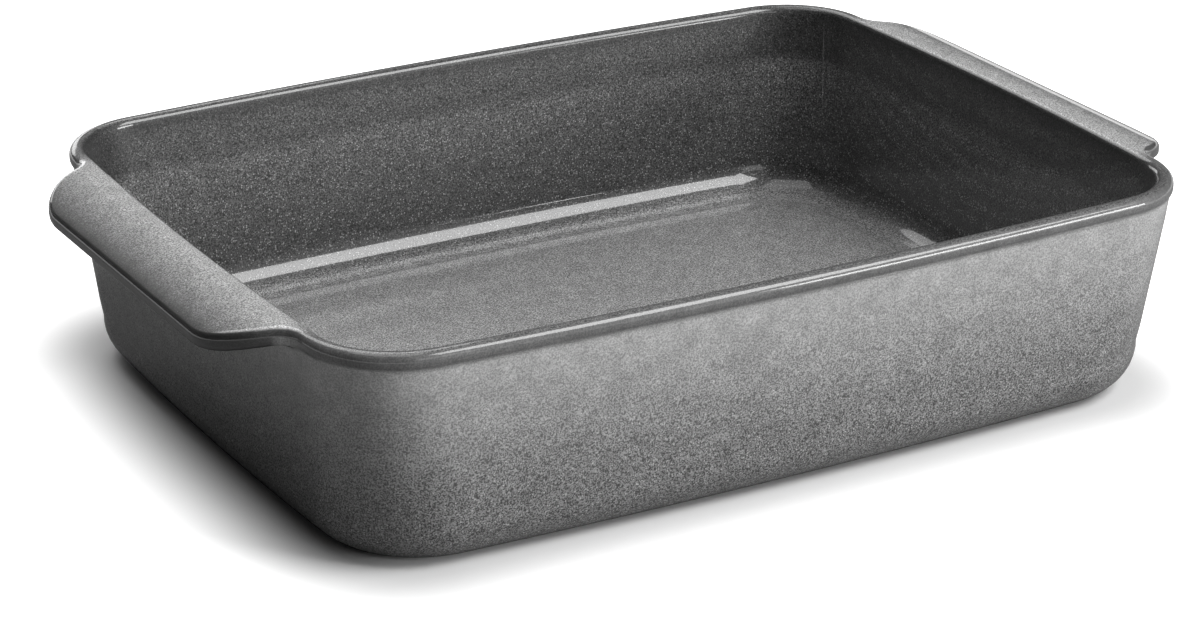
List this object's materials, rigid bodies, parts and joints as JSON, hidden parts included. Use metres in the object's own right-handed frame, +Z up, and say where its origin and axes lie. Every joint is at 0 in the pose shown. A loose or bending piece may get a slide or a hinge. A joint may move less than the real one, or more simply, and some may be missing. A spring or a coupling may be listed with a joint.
{
  "type": "lasagna dish",
  "caption": "Deep rectangular stoneware baking dish with bowed sides, rounded corners, a rolled lip and broad ledge handles, glazed all over but its foot.",
  "frame": {"origin": "centre of the base, on the surface the dish stands on", "axes": "+X along the dish through both handles, +Y towards the far long side, +Z up"},
  "size_m": [0.38, 0.267, 0.08],
  "materials": {
    "clay": "bare fired stoneware, matte",
    "glaze": "satin gloss glaze with a fine pale speckle"
  },
  "bodies": {
    "root": {"basin": "clay", "left_handle": "clay", "right_handle": "clay", "glaze": "glaze"}
  },
  "joints": []
}
